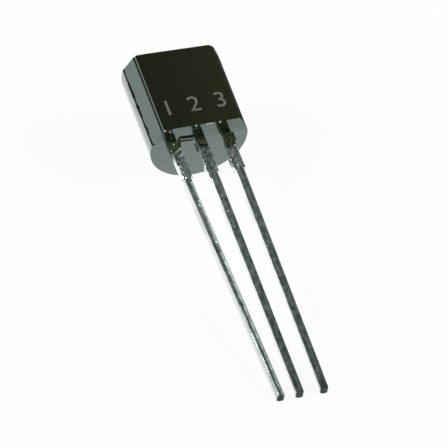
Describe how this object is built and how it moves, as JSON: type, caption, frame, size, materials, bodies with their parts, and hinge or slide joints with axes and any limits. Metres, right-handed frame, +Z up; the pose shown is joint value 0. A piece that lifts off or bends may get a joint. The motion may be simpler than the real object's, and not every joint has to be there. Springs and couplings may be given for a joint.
{
  "type": "to-92 transistor",
  "caption": "Small-signal transistor: a black moulded case with a flat front and a round back, and straight tinned leads with wider shoulders in one row.",
  "frame": {"origin": "middle of the object's box on the surface it lies on", "axes": "+Z up, out of the flat face that looks up; +Y from the lead tips towards the top of the case; +X across the leads, from the emitter to the collector"},
  "size_m": [0.0048, 0.02, 0.0043],
  "materials": {
    "case_plastic": "satin",
    "tinned_lead": "satin",
    "silicon": "polished",
    "attach_silver": "matte",
    "gold_wire": "gloss"
  },
  "bodies": {
    "root": {"moulded_body": "case_plastic", "emitter_lead": "tinned_lead", "base_lead": "tinned_lead", "collector_lead": "tinned_lead", "transistor_die": "silicon", "die_attach": "attach_silver", "emitter_bond_wire": "gold_wire", "base_bond_wire": "gold_wire"}
  },
  "joints": []
}
